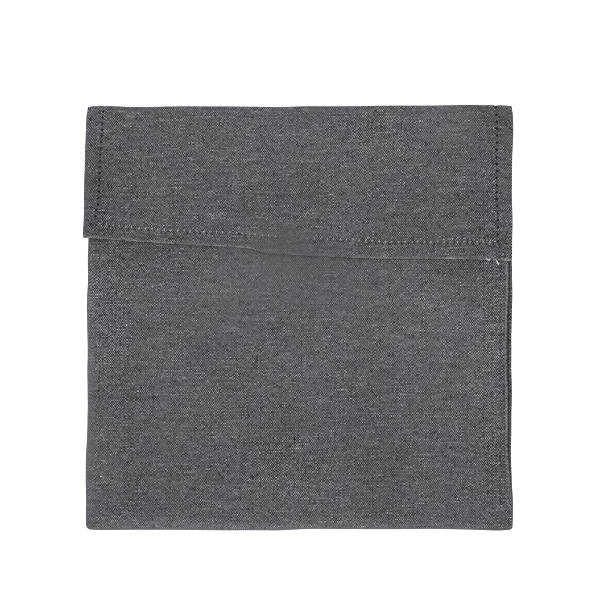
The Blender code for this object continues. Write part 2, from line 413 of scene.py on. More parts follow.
def edge_distance(line, stitch):
    """Distance from an edge of a lattice line, which may lie between two of them."""
    low = min(int(line), HEM_LINES - 1)
    near, far = (EDGE_LINES[at].share * stitch + EDGE_LINES[at].past * MM for at in (low, low + 1))
    return blend(near, far, line - low)


def place_column(column, left, right, left_in, right_in):
    """Place across the bag of a lattice column, with the hems' stitching that far in from the edges."""
    if column <= HEM_LINES:
        return left + edge_distance(column, left_in)
    if column >= COLUMNS - HEM_LINES:
        return right - edge_distance(COLUMNS - column, right_in)
    start = left + edge_distance(HEM_LINES, left_in)
    end = right - edge_distance(HEM_LINES, right_in)
    return blend(start, end, (column - HEM_LINES) / (COLUMNS - 2 * HEM_LINES))


def rough_across(column):
    """Place of a column before the side edges' wander is known."""
    side = POCKET_SIDES[-1]
    hem = FLAP_SIDES[-1]
    left, right = side.left * MM, side.right * MM
    return place_column(column, left, right, hem.left_stitch * MM, hem.right_stitch * MM)


def hem_weight(column, row):
    """How far a place on the strip is hem, from 0 for one layer to 1 for the turned hem."""
    if row <= POCKET_ROWS - 1:
        return 0.0
    line = min(column, COLUMNS - column)
    if row > FLAP_START:
        line = min(line, LAST_ROW - row)
    if line >= HEM_LINES:
        return 0.0
    low = int(line)
    return blend(EDGE_LINES[low].hem, EDGE_LINES[low + 1].hem, line - low)


def half_cloth(weight):
    """Half of the thickness of cloth that is hem by that weight."""
    return blend(CLOTH, HEM_CLOTH, weight) / 2


def round_corner(from_side, from_end, radius):
    """Distances from the two edges at a corner, moved so that the corner is rounded."""
    if from_side >= radius or from_end >= radius:
        return from_side, from_end
    side = 1.0 - from_side / radius
    end = 1.0 - from_end / radius
    rounded_side = side * math.sqrt(1.0 - end * end / 2.0)
    rounded_end = end * math.sqrt(1.0 - side * side / 2.0)
    return radius * (1.0 - rounded_side), radius * (1.0 - rounded_end)


def round_corners(across, height, left, right, end, left_radius, right_radius):
    """Place on a panel whose two lower corners are rounded."""
    if across < (left + right) / 2:
        from_side, from_end = round_corner(across - left, height - end, left_radius)
        return left + from_side, end + from_end
    from_side, from_end = round_corner(right - across, height - end, right_radius)
    return right - from_side, end + from_end


def pocket_row_height(row, foot, mouth):
    """Height of a row of the pocket, close together at the foot and at the mouth."""
    foot_rows = len(FOOT_LINES) - 1
    mouth_rows = len(MOUTH_LINES) - 1
    if row <= foot_rows:
        return foot + FOOT_LINES[row] * MM
    if row >= POCKET_ROWS - mouth_rows:
        return mouth - MOUTH_LINES[POCKET_ROWS - row] * MM
    share = (row - foot_rows) / (POCKET_ROWS - foot_rows - mouth_rows)
    return blend(foot + FOOT_LINES[-1] * MM, mouth - MOUTH_LINES[-1] * MM, share)


def uneven_lie(across, height, fine_rise, fine_length, fine_layer):
    """Rise of unevenly lying cloth: long ripples, the same in every layer, and a layer's own fine ones."""
    long_rise = LONG_RIPPLE * ripple(across, height, LONG_RIPPLE_LENGTH, 1)
    return long_rise + fine_rise * ripple(across, height, fine_length, fine_layer)


def front_height(across, height, left, right, foot):
    """Middle of the front panel above the floor at a place on it."""
    from_edge = min(across - left, right - across, height - foot)
    crown = blend(FRONT_EDGE_Z, FRONT_Z, ease(from_edge / CROWN_REACH))
    lifted = ease(from_edge / (2.0 * MM))
    allowance = ALLOWANCE_RISE * lifted * ease((ALLOWANCE_WIDTH - from_edge) / (3.0 * MM))
    swell = MM * patch_sum(BODY_SWELLS, across, height)
    uneven = uneven_lie(across, height, 0.05 * MM, 8.0 * MM, 2)
    return crown + allowance + ease(from_edge / SWELL_FADE) * (swell + uneven)


def front_top(across, height):
    """Height above the floor of the front panel's outer face."""
    left, right, foot = pocket_left(height), pocket_right(height), foot_line(across)
    return front_height(across, height, left, right, foot) + CLOTH / 2


def rolled_share(height):
    """How far the right seam is rolled to the front at that height above the foot, from 0 to 1."""
    return ease((height - ROLL_START) / ROLL_FADE)


def turned_edge(layer, rolled):
    """Inset and height of a ring of the turned edge, where the seam is rolled by that share."""
    turn = math.pi * layer / RINGS
    inset = blend(TURN_INSET, CLOTH / 2, math.sin(turn))
    rise = blend(CLOTH / 2, FRONT_EDGE_Z, (1.0 - math.cos(turn)) / 2)
    roll = SEAM_ROLL[layer]
    return blend(inset, roll.inset * MM, rolled), blend(rise, roll.rise * MM, rolled)


def pocket_point(column, row, layer):
    """Point of the pocket: back panel on layer 0, front panel on the last, turned edge between them."""
    near_across = rough_across(column)
    foot = foot_line(near_across)
    mouth = crest_line(near_across) - MOUTH_DEPTH
    plain_inset, plain_rise = turned_edge(layer, 0.0)
    end = foot + plain_inset
    height = pocket_row_height(row, end, mouth)
    rolled = rolled_share(height)
    right_inset, right_rise = turned_edge(layer, rolled)
    if layer > LAST_BACK_RING:
        draw = DEEP_GROOVE_DRAW if layer in DEEP_GROOVE_RINGS else GROOVE_DRAW
        right_inset += draw * rolled * math.exp(-(((height - GROOVE_HEIGHT) / GROOVE_REACH) ** 4))
    wander = 0.14 * MM * ripple(0.0, height, 9.0 * MM, 3)
    left = pocket_left(height) + plain_inset + wander
    right = pocket_right(height) - right_inset + wander
    across = place_column(column, left, right, POCKET_HEM, POCKET_HEM)
    across, height = round_corners(across, height, left, right, end, LEFT_CORNER, RIGHT_CORNER)
    if layer == 0:
        return across, height, half_cloth(hem_weight(column, row))
    if layer < RINGS:
        return across, height, right_rise if column == COLUMNS else plain_rise
    from_right = right - across
    ridge = (right_rise - FRONT_EDGE_Z) * ease(1.0 - from_right / RIDGE_WIDTH)
    middle = front_height(across, height, left, right, end) + ridge
    hem = ease((height - (mouth - MOUTH_HEM)) / MM)
    return across, height, middle + hem * (HEM_CLOTH - CLOTH) / 2


def crest_turn(column):
    """Height of the crest fold's axis above the foot, the fold's radius and half the cloth at a column."""
    half = half_cloth(hem_weight(column, CREST_START))
    radius = (CREST_Z - CLOTH / 2) / 2
    crest = crest_line(rough_across(column))
    return crest - half - radius, radius, half


def stitched_dent(away):
    """Dent that a row of stitches pulls into a hem, at a distance from it."""
    return DENT_DEPTH * math.exp(-((away / DENT_WIDTH) ** 2))


def across_hems(column, height, left, right):
    """Place across the bag of a column of the hemmed strip, and its side stitching's dent there."""
    left_in, right_in = left_stitch(height), right_stitch(height)
    across = place_column(column, left, right, left_in, right_in)
    return across, stitched_dent(across - left - left_in) + stitched_dent(right - right_in - across)


def neck_point(column, row):
    """Point of the back panel between the mouth and the crest."""
    axis_height, _, half = crest_turn(column)
    mouth = crest_line(rough_across(column)) - MOUTH_DEPTH
    height = blend(mouth, axis_height, (row - POCKET_ROWS) / NECK_ROWS)
    across, dents = across_hems(column, height, pocket_left(height), pocket_right(height))
    return across, height, half + dents


def crest_point(column, row):
    """Point of the fold over the crest."""
    axis_height, radius, half = crest_turn(column)
    turned = math.pi * (row - CREST_START) / CREST_ROWS
    left, right = flap_left(axis_height), flap_right(axis_height)
    across, dents = across_hems(column, axis_height, left, right)
    out = (radius - dents) * math.sin(turned)
    up = radius - (radius - dents) * math.cos(turned)
    return across, axis_height + out, half + up


def flap_row_height(row, axis_height, edge, stitch):
    """Height above the foot of a row of the flap."""
    from_edge = LAST_ROW - row
    if from_edge <= HEM_LINES:
        return edge + edge_distance(from_edge, stitch)
    hem_top = edge + edge_distance(HEM_LINES, stitch)
    return blend(axis_height, hem_top, (row - FLAP_START) / (FLAP_ROWS - HEM_LINES))


def flap_point(column, row):
    """Point of the flap, which lies on the front panel."""
    near_across = rough_across(column)
    axis_height, _, crest_half = crest_turn(column)
    edge = flap_edge(near_across) + 0.1 * MM * ripple(near_across, 0.0, 6.0 * MM, 4)
    stitch = lower_stitch(near_across)
    height = flap_row_height(row, axis_height, edge, stitch)
    draped = ease((axis_height - height) / CREST_FADE)
    wander = 0.12 * MM * draped * ripple(1.0, height, 7.0 * MM, 5)
    left, right = flap_left(height) + wander, flap_right(height) + wander
    across, side_dents = across_hems(column, height, left, right)
    dents = max(side_dents, stitched_dent(height - edge - stitch))
    across, height = round_corners(across, height, left, right, edge, FLAP_CORNER, FLAP_CORNER)
    swell = MM * patch_sum(BODY_SWELLS + FLAP_SWELLS, across, height)
    uneven = uneven_lie(across, height, 0.06 * MM, 7.0 * MM, 6)
    weight = hem_weight(column, row)
    puff = 0.07 * MM * weight * ripple(across, height, 3.5 * MM, 8)
    rise = flap_rise(axis_height - height) + REST_GAP + half_cloth(weight)
    start = CREST_Z - CLOTH / 2 + crest_half
    middle = blend(start, rise + swell + uneven + puff, draped) - dents
    if draped == 1.0:
        middle = max(middle, front_top(across, height) + REST_GAP + half_cloth(weight))
    return across, height, middle


def bag_point(column, row, layer):
    """Real place of a lattice point, from the bag's middle line, its foot and the floor."""
    if row <= POCKET_ROWS:
        return pocket_point(column, row, layer)
    return strip_point(column, row)


def strip_point(column, row):
    """Point of the strip past the mouth, where columns and rows may lie between the lattice's own."""
    if row <= CREST_START:
        return neck_point(column, row)
    if row <= FLAP_START:
        return crest_point(column, row)
    return flap_point(column, row)


def lay_out_lattice(mesh):
    """Back panel, front panel and turned edges as an open box, and the strip that runs on to the flap."""
    bmesh.ops.create_grid(mesh, x_segments=COLUMNS, y_segments=POCKET_ROWS, size=0.5)
    bmesh.ops.translate(mesh, verts=mesh.verts, vec=(0.5, 0.5, 0.0))
    bmesh.ops.scale(mesh, verts=mesh.verts, vec=(COLUMNS, POCKET_ROWS, 1.0))
    raised = bmesh.ops.extrude_face_region(mesh, geom=mesh.faces[:], use_keep_orig=True)
    front = [item for item in raised["geom"] if isinstance(item, bmesh.types.BMVert)]
    bmesh.ops.translate(mesh, verts=front, vec=(0.0, 0.0, RINGS))
    mouth_wall = [
        face for face in mesh.faces if all(round(vert.co.y) == POCKET_ROWS for vert in face.verts)
    ]
    bmesh.ops.delete(mesh, geom=mouth_wall, context="FACES")
    upright = [edge for edge in mesh.edges if abs(edge.verts[0].co.z - edge.verts[1].co.z) > 0.5]
    bmesh.ops.subdivide_edges(mesh, edges=upright, cuts=RINGS - 1)
    strip_end = [
        edge
        for edge in mesh.edges
        if all(lattice_of(vert)[1:] == (POCKET_ROWS, 0) for vert in edge.verts)
    ]
    for _ in range(LAST_ROW - POCKET_ROWS):
        added = bmesh.ops.extrude_edge_only(mesh, edges=strip_end)["geom"]
        new_verts = [item for item in added if isinstance(item, bmesh.types.BMVert)]
        bmesh.ops.translate(mesh, verts=new_verts, vec=(0.0, 1.0, 0.0))
        new_ends = set(new_verts)
        strip_end = [
            item
            for item in added
            if isinstance(item, bmesh.types.BMEdge) and new_ends.issuperset(item.verts)
        ]


def lattice_of(vert):
    """Column, row and layer of a point, while it is still on the lattice."""
    return round(vert.co.x), round(vert.co.y), round(vert.co.z)


def run_along(points):
    """Distance along a row of points to each of them."""
    runs = [0.0]
    for start, end in zip(points, points[1:]):
        runs.append(runs[-1] + (Vector(end) - Vector(start)).length)
    return runs


def seam_runs():
    """Distances along the stitching of the left, right and lower hems, for each row or column."""
    strip_rows = range(POCKET_ROWS, LAST_ROW + 1)
    sides = [
        run_along([strip_point(column, row) for row in strip_rows])
        for column in (STITCH_LINE, COLUMNS - STITCH_LINE)
    ]
    lower = run_along([strip_point(column, LAST_ROW - STITCH_LINE) for column in range(COLUMNS + 1)])
    return *sides, lower


left_run, right_run, lower_run = seam_runs()

# Away from all sewing: half a stitch from any hole, and far from the row
NO_SEAM = (0.5, 0.05)


def side_sewing(column, row):
    """Stitches counted up a side hem, and the distance from its stitching."""
    if row < POCKET_ROWS:
        return NO_SEAM
    on_left = column < COLUMNS / 2
    seam, runs = (LEFT_SEAM, left_run) if on_left else (RIGHT_SEAM, right_run)
    across, _, _ = strip_point(column, row)
    stitching, _, _ = strip_point(STITCH_LINE if on_left else COLUMNS - STITCH_LINE, row)
    return (runs[-1] - runs[row - POCKET_ROWS]) / seam.pitch + seam.phase, across - stitching


def lower_sewing(column, row):
    """Stitches counted along the lower hem, and the distance from its stitching."""
    if row < FLAP_START:
        return NO_SEAM
    _, height, _ = strip_point(column, row)
    _, stitching, _ = strip_point(column, LAST_ROW - STITCH_LINE)
    return lower_run[column] / LOWER_SEAM.pitch + LOWER_SEAM.phase, height - stitching


def strip_length(column, row, place):
    """Distance along the warp from the foot to a point on the back, crest or flap."""
    _, height, _ = place
    if row <= CREST_START:
        return height
    axis_height, radius, _ = crest_turn(column)
    if row <= FLAP_START:
        return axis_height + math.pi * radius * (row - CREST_START) / CREST_ROWS
    return axis_height + math.pi * radius + (axis_height - height)


def weave_place(spot, place, layers):
    """Place of a face's corner on the flat cloth. Layers are those of all the face's corners."""
    column, row, layer = spot
    across, height, _ = place
    if max(layers) == 0:
        return across, strip_length(column, row, place)
    if min(layers) == RINGS:
        return across, -TURN_LENGTH - height
    turned = TURN_LENGTH * layer / RINGS
    if column in (0, COLUMNS) and row > 0:
        return math.copysign(POCKET_SIDES[0].right * MM + turned, across), height
    return across, -turned


def edge_wear_and_highlight(spot, place):
    """How pale the cloth is at a place, from wear and painted highlight: along the flap's folded edge and
    the right seam's ridge.
    """
    column, row, layer = spot
    across, height, _ = place
    if layer == RINGS and column >= COLUMNS - 1:
        return RIDGE_WEAR_AND_HIGHLIGHT * rolled_share(height)
    from_edge = LAST_ROW - row
    if from_edge >= len(EDGE_WEAR_AND_HIGHLIGHT_ROWS):
        return 0.0
    strength = sum(wear.strength for wear in EDGE_WEAR_AND_HIGHLIGHT if wear.start <= across / MM <= wear.end)
    return EDGE_WEAR_AND_HIGHLIGHT_ROWS[from_edge] * (FAINT_WEAR_AND_HIGHLIGHT + strength)


def fold_lattice(mesh):
    """Move every lattice point to its place on the folded bag, and mark hems, wear with painted highlight,
    tones with painted light and shade, felting, weave and sewing.
    """
    weave = mesh.loops.layers.uv.new("weave")
    side_seam = mesh.loops.layers.uv.new("side_sewing")
    lower_seam = mesh.loops.layers.uv.new("lower_sewing")
    wear_highlight_layer = mesh.verts.layers.float.new("edge_wear_and_highlight")
    hemmed = mesh.verts.layers.float.new("hem_layers")
    shaded = mesh.verts.layers.float.new("tone_and_painted_light")
    felted = mesh.verts.layers.float.new("felted_cloth")
    weights = mesh.verts.layers.deform.verify()
    spots = {vert: lattice_of(vert) for vert in mesh.verts}
    places = {vert: bag_point(*spot) for vert, spot in spots.items()}
    for face in mesh.faces:
        layers = [spots[vert][2] for vert in face.verts]
        for corner in face.loops:
            spot, place = spots[corner.vert], places[corner.vert]
            corner[weave].uv = weave_place(spot, place, layers)
            on_strip = max(layers) == 0
            corner[side_seam].uv = side_sewing(*spot[:2]) if on_strip else NO_SEAM
            corner[lower_seam].uv = lower_sewing(*spot[:2]) if on_strip else NO_SEAM
    for vert, (column, row, layer) in spots.items():
        place = places[vert]
        at_mouth = layer == RINGS and row >= POCKET_ROWS - MOUTH_HEM_ROWS
        weight = 1.0 if at_mouth else hem_weight(column, row) * (layer == 0)
        vert[weights][HEM_GROUP] = weight
        vert[hemmed] = weight
        vert[wear_highlight_layer] = edge_wear_and_highlight((column, row, layer), place)
        # Tone left by washing, with painted light and shade, which lightens or darkens the cloth's colour
        vert[shaded] = patch_sum(CLOTH_TONES_AND_PAINTED_LIGHT + FOLD_PAINTED_LIGHT * (layer > RINGS / 2), *place[:2])
        vert[felted] = patch_sum(FELTED_CLOTH, *place[:2]) + TURNED_EDGE_FELT * (0 < layer < RINGS)
        vert.co = place


def new_object(mesh, name, material):
    """Object of a finished mesh in one material."""
    data = bpy.data.meshes.new(name)
    mesh.to_mesh(data)
    mesh.free()
    data.materials.append(material)
    item = bpy.data.objects.new(name, data)
    bpy.context.scene.collection.objects.link(item)
    return item


class Wire:
    """A socket in a material, so that sums and products of wires add their Math nodes."""

    def __init__(self, tree, socket=None):
        self.tree = tree
        self.socket = socket

    def node(self, kind, settings=None, sockets=None, output=0):
        """Output of a new node, whose settings are set before its sockets get their values or links."""
        made = self.tree.nodes.new("ShaderNode" + kind)
        for name, value in (settings or {}).items():
            if name == "stops":
                for stop, (position, colour) in zip(made.color_ramp.elements, value):
                    stop.position = position
                    stop.color = colour
            else:
                setattr(made, name, value)
        for name, value in (sockets or {}).items():
            if isinstance(value, Wire):
                self.tree.links.new(value.socket, made.inputs[name])
            else:
                made.inputs[name].default_value = value
        return Wire(self.tree, made.outputs[output])

    def math(self, operation, *values):
        """Math node on wires and numbers."""
        return self.node("Math", {"operation": operation}, dict(enumerate(values)))

    def __add__(self, other):
        return self.math("ADD", self, other)

    __radd__ = __add__

    def __sub__(self, other):
        return self.math("SUBTRACT", self, other)

    def __rsub__(self, other):
        return self.math("SUBTRACT", other, self)

    def __mul__(self, other):
        return self.math("MULTIPLY", self, other)

    __rmul__ = __mul__

    def __truediv__(self, other):
        return self.math("DIVIDE", self, other)

    def __pow__(self, power):
        return self.math("POWER", self, power)

    def floor(self):
        return self.math("FLOOR", self)

    def cos(self):
        return self.math("COSINE", self)

    def size(self):
        return self.math("ABSOLUTE", self)

    def most(self, other):
        return self.math("MAXIMUM", self, other)

    def soft_step(self, low, high):
        """0 below low, 1 above high and smooth between them."""
        return self.node(
            "MapRange",
            {"interpolation_type": "SMOOTHSTEP"},
            {"Value": self, "From Min": low, "From Max": high},
        )

    def place(self, across, along):
        """Vector of two wires."""
        return self.node("CombineXYZ", None, {"X": across, "Y": along})

    def uneven(self, place, detail=2.0):
        """Smooth noise around zero, from about -1 to 1, whose grain is one unit of the place."""
        grain = self.node(
            "TexNoise",
            {"noise_dimensions": "2D"},
            {"Vector": place, "Scale": 1.0, "Detail": detail, "Roughness": 0.5},
        )
        return (grain - 0.5) * 3.0

    def chance(self, place):
        """Random number from -1 to 1 for each place."""
        drawn = self.node("TexWhiteNoise", {"noise_dimensions": "2D"}, {"Vector": place})
        return drawn * 2.0 - 1.0

    def mix(self, share, start, end):
        """Colour a share of the way from start to end."""
        return self.node("Mix", {"data_type": "RGBA"}, {0: share, 6: start, 7: end}, 2)

    def shade(self, colour, strength):
        """Colour times a number."""
        return self.node("VectorMath", {"operation": "SCALE"}, {0: colour, "Scale": strength})

    def map(self, name):
        """The two coordinates of a UV map."""
        found = self.node("UVMap", {"uv_map": name})
        return [self.node("SeparateXYZ", None, {0: found}, output) for output in (0, 1)]

    def mark(self, name):
        """A number stored on the mesh's points."""
        return self.node("Attribute", {"attribute_name": name}, None, 2)


def new_material(name, roughness):
    """Material with a Principled shader of that roughness, and a wire to build its colour with."""
    material = bpy.data.materials.new(name)
    material.use_nodes = True
    shader = material.node_tree.nodes["Principled BSDF"]
    shader.inputs["Roughness"].default_value = roughness
    shader.inputs["Specular IOR Level"].default_value = 0.08
    return material, shader, Wire(material.node_tree)


WARP_PITCH = 0.438 * MM
WEFT_PITCH = 0.6235 * MM
PALE_SHARE = 0.36
SPOT_SHARE = 0.42
WARP_COLOUR = (0.0112, 0.0112, 0.0122, 1.0)
WEFT_COLOUR = (0.2172, 0.2197, 0.2232, 1.0)
COOL_WEFT_COLOUR = (0.2237, 0.2155, 0.2505, 1.0)
# Pale colour of the edges' wear, with painted highlight
WORN_AND_LIT_COLOUR = (0.26, 0.26, 0.275, 1.0)
HOLE_SHADE_COLOUR = (0.003, 0.003, 0.004, 1.0)

# Needle holes, painted near black as the shade inside them: half their length as a share of a stitch, half
# their width, and the lower row's offset
SIDE_HOLE_SHARE = 0.2
SIDE_HOLE_REACH = 0.6 * MM
LOWER_HOLE_SHARE = 0.14
LOWER_HOLE_REACH = 0.4 * MM
LOWER_HOLE_OFFSET = 0.75 * MM


def make_chambray():
    """Washed grey chambray: dark warp and pale, slubby weft, felted in places, with wear and painted
    highlight at the edge, painted shade in its needle holes, and the mesh's painted light and shade.
    """
    material, shader, wire = new_material("grey_chambray_weave", 0.9)
    across, along = wire.map("weave")
    felt_mark = wire.mark("felted_cloth")

    drift = wire.place(across / (11.0 * MM), along / (19.0 * MM))
    other_drift = wire.place(along / (9.0 * MM), across / (21.0 * MM))
    jitter = wire.uneven(wire.place(across / (0.9 * MM), along / (2.5 * MM)), 0.0)
    warp = across / WARP_PITCH + 0.6 * wire.uneven(drift) + 0.35 * jitter
    weft = along / WEFT_PITCH + 0.4 * wire.uneven(other_drift)
    end = (warp + 0.5).floor()
    pick = (weft + 0.5).floor()

    slub = wire.uneven(wire.place(across / (4.0 * MM), pick * 5.37))
    long_slub = wire.uneven(wire.place(across / (25.0 * MM), pick * 3.91))
    row = wire.uneven(wire.place(across / (3.0 * MM), pick * 7.13 + 40.0))
    thick_end = wire.uneven(wire.place(end * 4.71, along / (2.0 * MM)))
    crossing = wire.chance(wire.place(end, pick))
    fleck = wire.chance(wire.place(end + 0.5, pick + 311.0))

    warp_wave = (math.pi * warp).cos() * (1.0 + 0.3 * thick_end)
    pair_wave = (0.5 * math.pi * warp + 0.7).cos()
    weft_wave = (math.pi * weft).cos()
    over = (warp_wave + 0.4 * pair_wave + 0.3 * row) * weft_wave
    spots = (3.0 * over + 0.6 * crossing + 0.12 * slub).soft_step(-0.2, 0.8)
    felted = wire.uneven(wire.place(across / (5.0 * MM), along / (2.2 * MM)), 1.0)
    clear = (felted - 1.6 * felt_mark).soft_step(-0.95, 0.95)
    pale = PALE_SHARE * (1.0 + (spots / SPOT_SHARE - 1.0) * (0.29 + 0.96 * clear))

    tint_place = wire.place(across / (24.0 * MM) + 17.0, along / (20.0 * MM))
    tint = wire.uneven(tint_place, 3.0).soft_step(-1.0, 1.0)
    base = wire.mix(pale, WARP_COLOUR, wire.mix(tint, WEFT_COLOUR, COOL_WEFT_COLOUR))

    patch = wire.uneven(wire.place(across / (8.0 * MM), along / (7.0 * MM)))
    cloud = wire.uneven(wire.place(across / (48.0 * MM) + 4.0, along / (40.0 * MM)), 1.0)
    pick_pairs = weft_wave * wire.uneven(wire.place(across / (20.0 * MM) + 9.0, along / (3.0 * MM)))
    streak = wire.uneven(wire.place(across / (8.0 * MM) + 30.0, pick * 2.37)).soft_step(0.1, 1.0)
    fuzz = wire.uneven(wire.place(across / (0.7 * MM), along / (1.2 * MM)), 0.0)
    thread_tone = 0.22 * fleck + 0.1 * slub + 0.21 * long_slub + 0.25 * fuzz
    thread_tone = thread_tone + 0.37 * pick_pairs + 0.15 * thick_end
    nep = 1.8 * fleck.soft_step(0.9996, 0.9998)
    glint = 1.2 * over.soft_step(0.6, 1.7) - 0.1
    # Random tone of the cloth, and the mesh's tone with its painted light and shade
    area_tone_and_light = 0.04 * patch + 0.08 * cloud + wire.mark("tone_and_painted_light")
    unevenness = 0.84 + 0.14 * clear - 0.4 * felt_mark.most(0.0)
    unevenness = unevenness * (thread_tone + 0.36 * streak)
    tone = 0.963 + unevenness + 0.8 * unevenness * unevenness + nep + clear * glint + area_tone_and_light
    coloured = wire.shade(base, tone)

    # Pale edges: wear, and painted highlight where the flap's fold and the seam's ridge catch the light
    broken = wire.uneven(wire.place(across / (0.9 * MM), along / (0.9 * MM)))
    wear_and_highlight_share = wire.mark("edge_wear_and_highlight") * (broken + 0.8).soft_step(0.0, 1.2)
    coloured = wire.mix(wear_and_highlight_share, coloured, WORN_AND_LIT_COLOUR)

    # Needle holes: painted shade, near black, where the thread goes into the cloth
    side_count, side_away = wire.map("side_sewing")
    from_hole = side_count - (side_count + 0.5).floor()
    from_hole_middle = (from_hole / SIDE_HOLE_SHARE) ** 2.0 + (side_away / SIDE_HOLE_REACH) ** 2.0
    sewn = side_count.soft_step(FIRST_SIDE_HOLE - 0.6, FIRST_SIDE_HOLE - 0.4)
    side_hole = 0.92 * (1.0 - from_hole_middle.soft_step(0.5, 1.4)) * sewn
    lower_count, lower_away = wire.map("lower_sewing")
    from_hole = lower_count - (lower_count + 0.5).floor()
    from_row = (lower_away + LOWER_HOLE_OFFSET) / LOWER_HOLE_REACH
    lower_hole = 1.0 - ((from_hole / LOWER_HOLE_SHARE) ** 2.0 + from_row**2.0).soft_step(0.4, 1.3)
    hole = side_hole.most(lower_hole * (0.75 - 0.9 * felt_mark).most(0.0))
    coloured = wire.mix(hole, coloured, HOLE_SHADE_COLOUR)
    wire.tree.links.new(coloured.socket, shader.inputs["Base Color"])

    relief = over.size() + 0.3 * slub + 0.2 * fleck - 3.0 * hole
    bump = wire.node("Bump", None, {"Strength": 0.6, "Distance": 0.12 * MM, "Height": relief})
    wire.tree.links.new(bump.socket, shader.inputs["Normal"])
    return material


def make_bag_cloth():
    """Whole bag as one folded sheet."""
    mesh = bmesh.new()
    lay_out_lattice(mesh)
    fold_lattice(mesh)
    bmesh.ops.recalc_face_normals(mesh, faces=mesh.faces)
    item = new_object(mesh, "bag_cloth_soft", make_chambray())
    item.vertex_groups.new(name="hem")
    item.data.shade_smooth()
    thickness = item.modifiers.new("cloth thickness", "SOLIDIFY")
    thickness.thickness = HEM_CLOTH
    thickness.offset = 0.0
    thickness.use_even_offset = False
    thickness.vertex_group = "hem"
    thickness.thickness_vertex_group = CLOTH / HEM_CLOTH
    rounding = item.modifiers.new("rounded free edges", "BEVEL")
    rounding.width = 0.2 * MM
    rounding.segments = 2
    rounding.limit_method = "ANGLE"
    rounding.angle_limit = math.radians(60.0)
    return item


bag_cloth = make_bag_cloth()
cloth_low, cloth_high = (
    Vector([pick(vert.co[axis] for vert in bag_cloth.data.vertices) for axis in range(3)])
    for pick in (min, max)
)
packed_low, packed_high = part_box("bag_cloth")
to_frame = (packed_low + packed_high) / 2 - (cloth_low + cloth_high) / 2
to_frame.z = packed_low.z
bag_cloth.data.transform(Matrix.Translation(to_frame))
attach(bag_cloth, "root")
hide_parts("bag_cloth")


# Side hem stitching
# Lockstitch in grey thread along both side hems, from the flap's lower corners up over the crest and down
# the back to the mouth. The needle has left a hole at each end of every stitch.

SIDE_STITCH = 1.5 * MM
SIDE_THREAD = 0.34 * MM
GREY_THREAD = (0.085, 0.085, 0.09, 1.0)


def cloth_frame(column, row):
    """Place on the strip's outer face, with the directions down its rows, across it and outwards."""
    step = 0.05
    place = Vector(strip_point(column, row))
    down = Vector(strip_point(column, row + step)) - Vector(strip_point(column, row - step))
    over = Vector(strip_point(column + step, row)) - Vector(strip_point(column - step, row))
    out = down.cross(over).normalized()
    return place + out * half_cloth(hem_weight(column, row)), down.normalized(), over.normalized(), out


def between(runs, run):
    """Place in a list of distances, as a number that may lie between two of them."""
    low = min(max(bisect_right(runs, run) - 1, 0), len(runs) - 2)
    return low + (run - runs[low]) / (runs[low + 1] - runs[low])


def sew_stitch(mesh, place, along, out, length, thread, sink):
    """One stitch: thread that comes up, lies bent over the cloth and goes down again."""
    verts = bmesh.ops.create_uvsphere(mesh, u_segments=8, v_segments=8, radius=0.5)["verts"]
    bmesh.ops.scale(mesh, verts=verts, vec=(thread, thread, length))
    for vert in verts:
        share = 2.0 * vert.co.z / length
        vert.co.x += thread * (0.5 - sink) - 0.6 * thread * share * share
    turn = Matrix((out, along.cross(out), along)).transposed().to_4x4()
    bmesh.ops.transform(mesh, verts=verts, matrix=Matrix.Translation(place + to_frame) @ turn)


def make_thread(name, colour, sheen):
    """Twisted cotton thread of that colour."""
    material, shader, wire = new_material(name, 0.75)
    object_place = wire.node("TexCoord", None, None, 3)
    fibres = wire.node("TexNoise", None, {"Vector": object_place, "Scale": 2600.0, "Detail": 2.0})
    lengths = wire.node("TexNoise", None, {"Vector": object_place, "Scale": 280.0, "Detail": 1.0})
    dark, light = ([value * share for value in colour[:3]] + [1.0] for share in (0.35, 1.5))
    twisted = wire.mix(0.5 * fibres + 0.5 * lengths, dark, light)
    wire.tree.links.new(twisted.socket, shader.inputs["Base Color"])
    shader.inputs["Sheen Weight"].default_value = sheen
    bump = wire.node("Bump", None, {"Strength": 0.5, "Distance": 0.05 * MM, "Height": fibres})
    wire.tree.links.new(bump.socket, shader.inputs["Normal"])
    return material


def finish_sewing(mesh, name, material):
    """Object of finished stitches, riding on the bag."""
    item = new_object(mesh, name, material)
    item.data.shade_smooth()
    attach(item, "root")
    return item


grey_thread = make_thread("grey_sewing_thread", GREY_THREAD, 0.0)
side_hems = (
    ("left_hem_stitching", STITCH_LINE, left_run, LEFT_SEAM),
    ("right_hem_stitching", COLUMNS - STITCH_LINE, right_run, RIGHT_SEAM),
)
for name, column, runs, seam in side_hems:
    mesh = bmesh.new()
    last = math.floor(runs[-1] / seam.pitch) - 1
    for count in range(FIRST_SIDE_HOLE, last):
        row = POCKET_ROWS + between(runs, runs[-1] - (count + 0.5 - seam.phase) * seam.pitch)
        place, down, _, out = cloth_frame(column, row)
        sink = blend(0.3, 0.9, max(out.y, 0.0))
        sew_stitch(mesh, place, -down, out, SIDE_STITCH, SIDE_THREAD, sink)
    finish_sewing(mesh, name, grey_thread)


# Lower hem stitching
# The same lockstitch along the flap's lower hem, in a paler thread whose colour is partly painted
# highlight, for the light that each stitch catches where it comes up. Its short stitches stand steeply
# across the row, and are sunk into the cloth by uneven amounts.

LOWER_STITCH = 1.3 * MM
LOWER_THREAD = 0.45 * MM
LOWER_SLANT = math.radians(68.0)
PALE_AND_LIT_THREAD = (0.36, 0.36, 0.38, 1.0)

